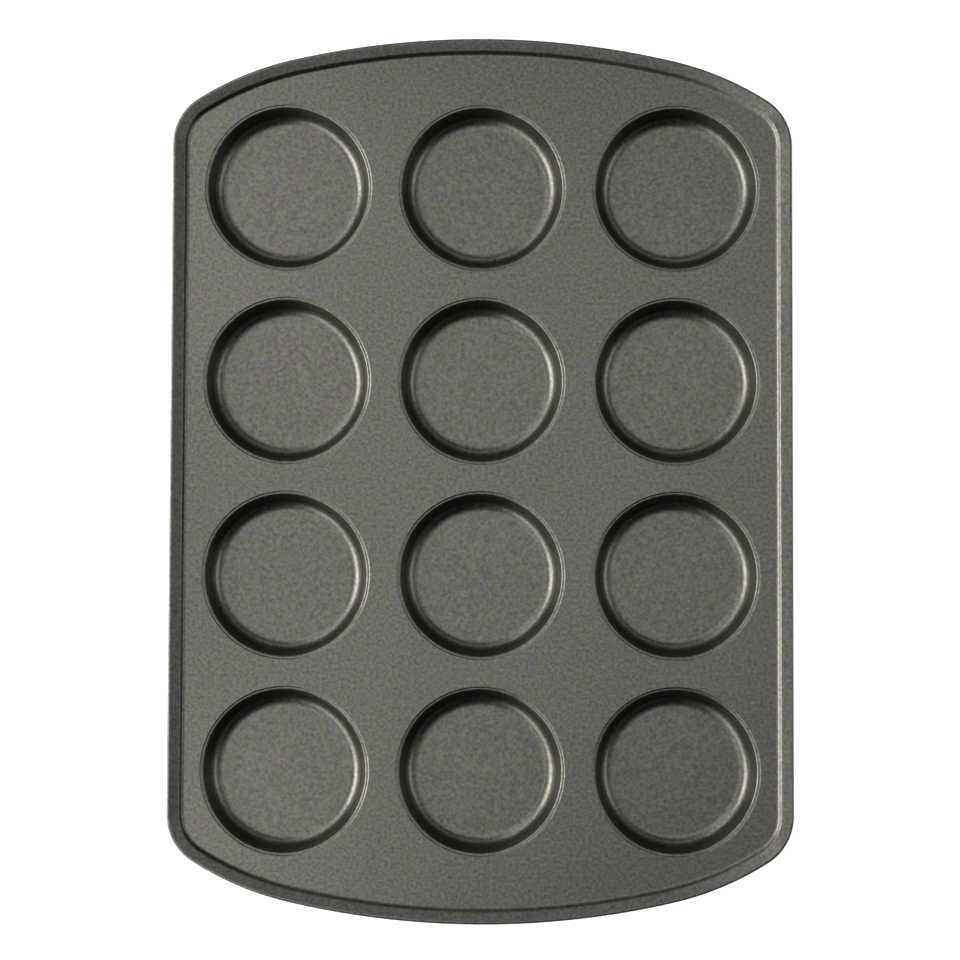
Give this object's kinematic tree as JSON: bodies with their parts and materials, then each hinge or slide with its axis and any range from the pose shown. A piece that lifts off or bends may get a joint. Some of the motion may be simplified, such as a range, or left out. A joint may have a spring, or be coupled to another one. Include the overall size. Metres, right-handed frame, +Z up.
{
  "type": "muffin top and hamburger bun pan",
  "caption": "Shallow baking pan for buns: a stamped metal sheet with a grid of round flat-bottomed cups, bowed ends and a raised, curled rim.",
  "frame": {"origin": "middle of the plane that the cup floors stand on", "axes": "+Z up, out of the cups; +Y along the pan's length; +X across it"},
  "size_m": [0.281, 0.4, 0.016],
  "materials": {
    "coated_sheet": "satin"
  },
  "bodies": {
    "root": {"bun_pan": "coated_sheet"}
  },
  "joints": []
}
